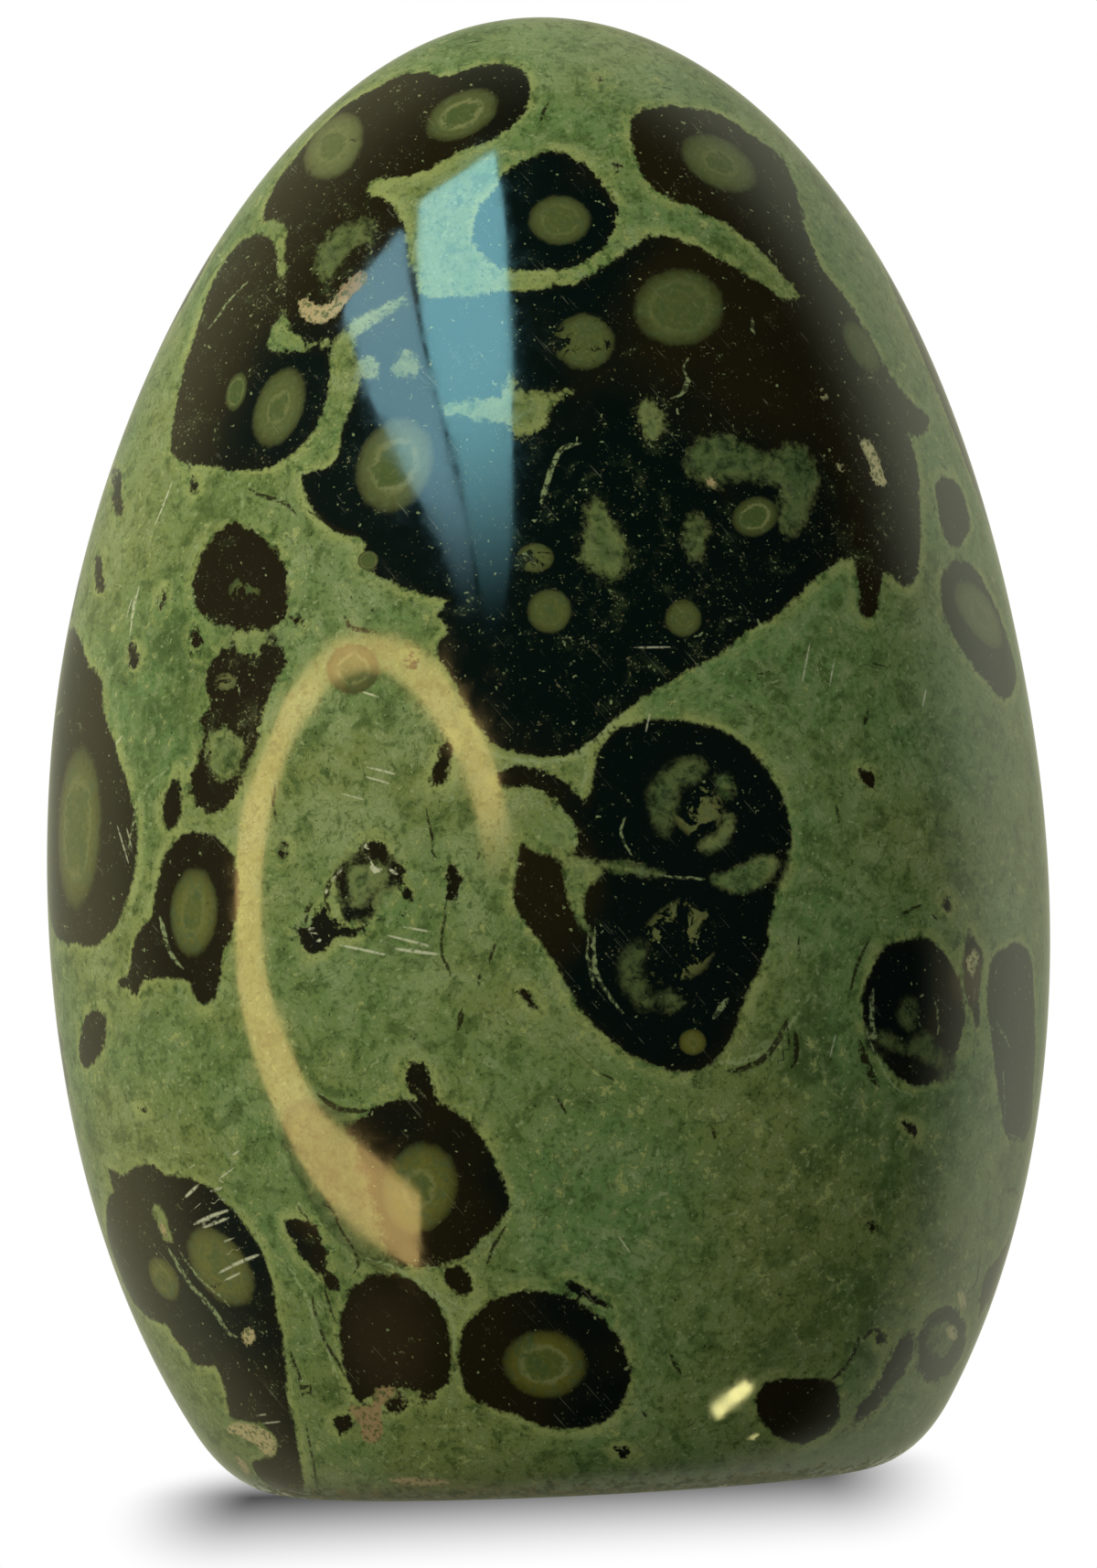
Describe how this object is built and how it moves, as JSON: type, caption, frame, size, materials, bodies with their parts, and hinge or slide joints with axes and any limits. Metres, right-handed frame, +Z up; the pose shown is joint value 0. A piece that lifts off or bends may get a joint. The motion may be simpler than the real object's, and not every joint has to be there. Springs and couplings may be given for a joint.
{
  "type": "polished kambaba jasper freeform",
  "caption": "Upright egg-shaped freeform of polished green and black orbicular jasper, standing on a small flat ground into its blunt end.",
  "frame": {"origin": "centre of the bounding box's bottom face, on the flat spot that the stone rests on", "axes": "+Z up along the stone's height, +X to the viewer's right across the broad face, -Y towards the viewer of the broad face"},
  "size_m": [0.0746, 0.05, 0.109],
  "materials": {
    "jasper": "polished"
  },
  "bodies": {
    "root": {"stone": "jasper"}
  },
  "joints": []
}
